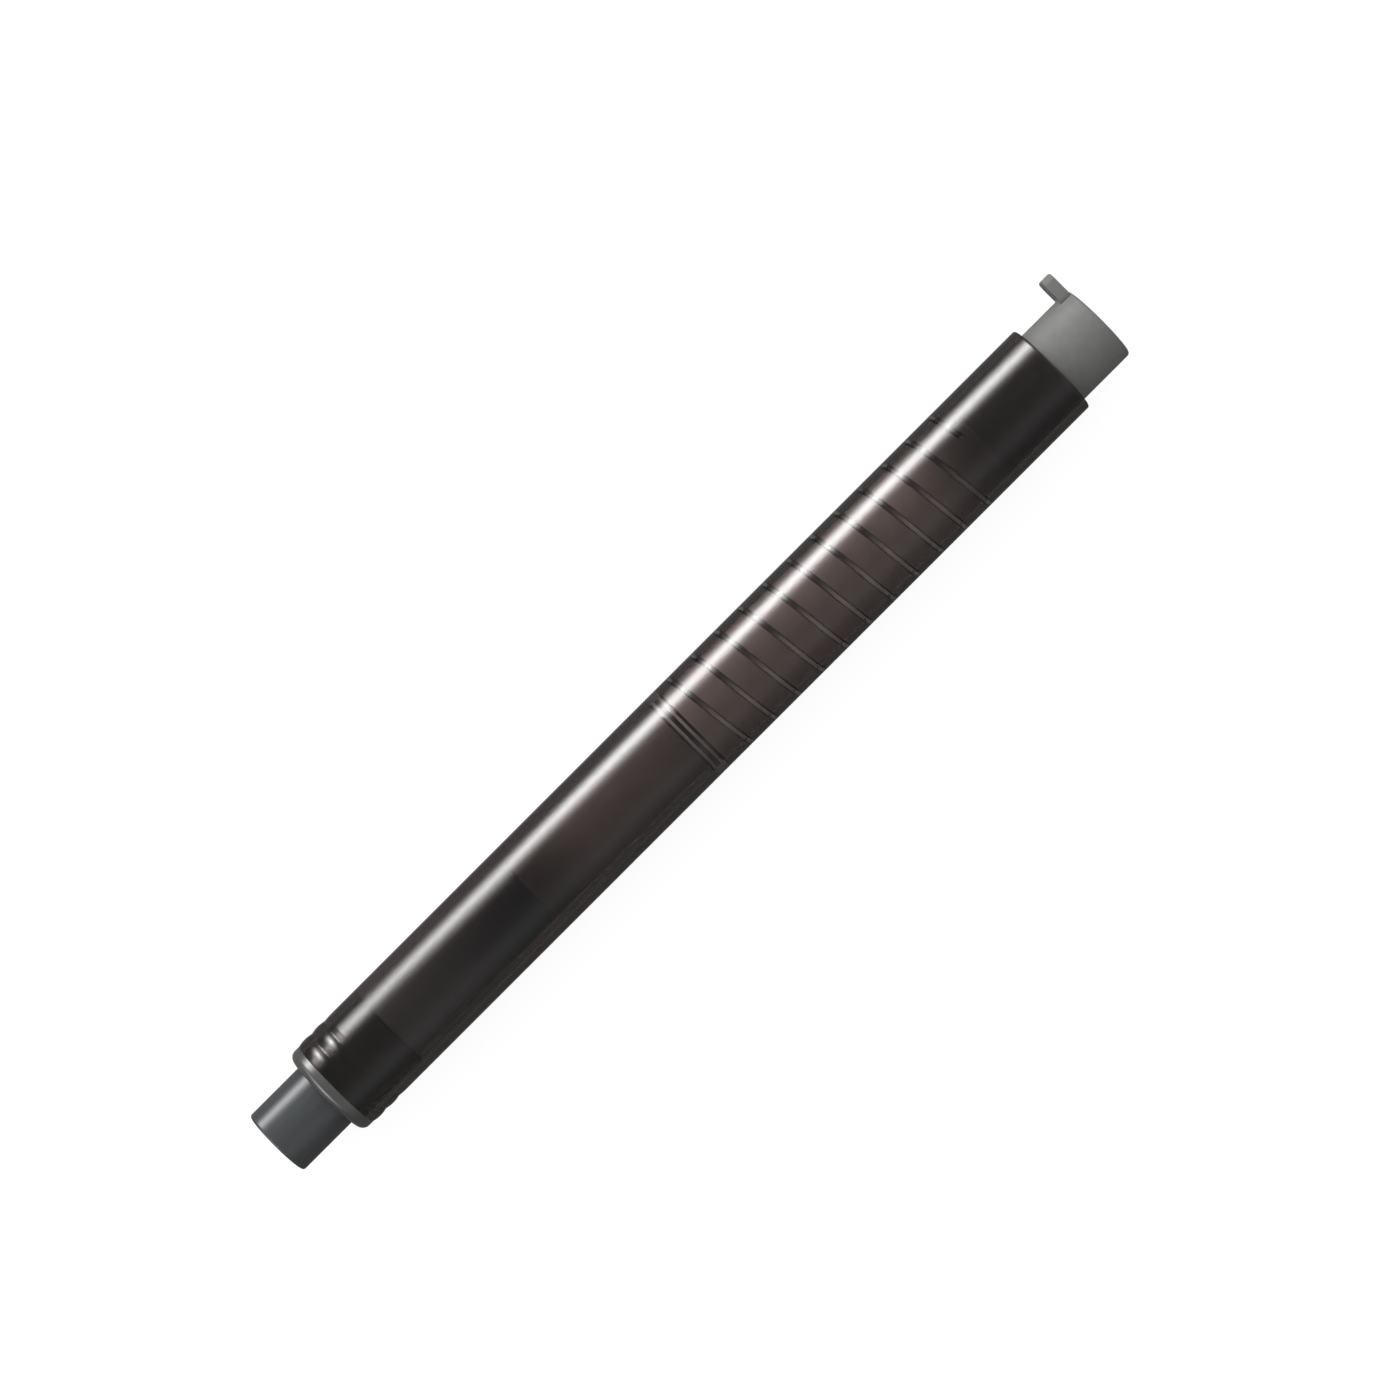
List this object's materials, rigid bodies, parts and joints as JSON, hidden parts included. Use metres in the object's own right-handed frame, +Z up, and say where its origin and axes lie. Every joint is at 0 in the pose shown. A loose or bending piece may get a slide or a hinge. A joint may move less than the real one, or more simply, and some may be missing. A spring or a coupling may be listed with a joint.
{
  "type": "eraser stick",
  "caption": "Twist-up eraser stick: clear smoke barrel with an inner helical thread, a grey tail knob with a drive tab, and a dark round eraser fed out of a flanged nose.",
  "frame": {"origin": "centre of the tail knob's flat end face, on the stick's axis", "axes": "+X along the stick towards the eraser's tip, +Z up as the stick lies on a table, and the drive tab points to -Y"},
  "size_m": [0.1019, 0.0108, 0.0094],
  "materials": {
    "smoke_plastic": "clear smoke-tinted polished",
    "dark_plastic": "satin",
    "eraser_vinyl": "satin",
    "natural_plastic": "milky translucent",
    "grey_plastic": "matte"
  },
  "bodies": {
    "barrel_body": {"barrel": "smoke_plastic", "nose_guide": "dark_plastic"},
    "knob_body": {"tail_knob": "grey_plastic", "drive_sleeve": "natural_plastic"},
    "rod_body": {"feed_rod": "natural_plastic", "eraser": "eraser_vinyl"}
  },
  "joints": [
    {"name": "knob_turn", "type": "hinge", "parent": "barrel_body", "child": "knob_body", "pos_m": [0, 0, 0], "axis": [1, 0, 0], "range_deg": [0, 3600]},
    {"name": "rod_feed", "type": "slide", "parent": "knob_body", "child": "rod_body", "axis": [1, 0, 0], "range_m": [0, 0.0295]}
  ],
  "couplings": [
    {"joint": "knob_turn", "follows": "rod_feed", "rad_per_m": 2129.9}
  ]
}
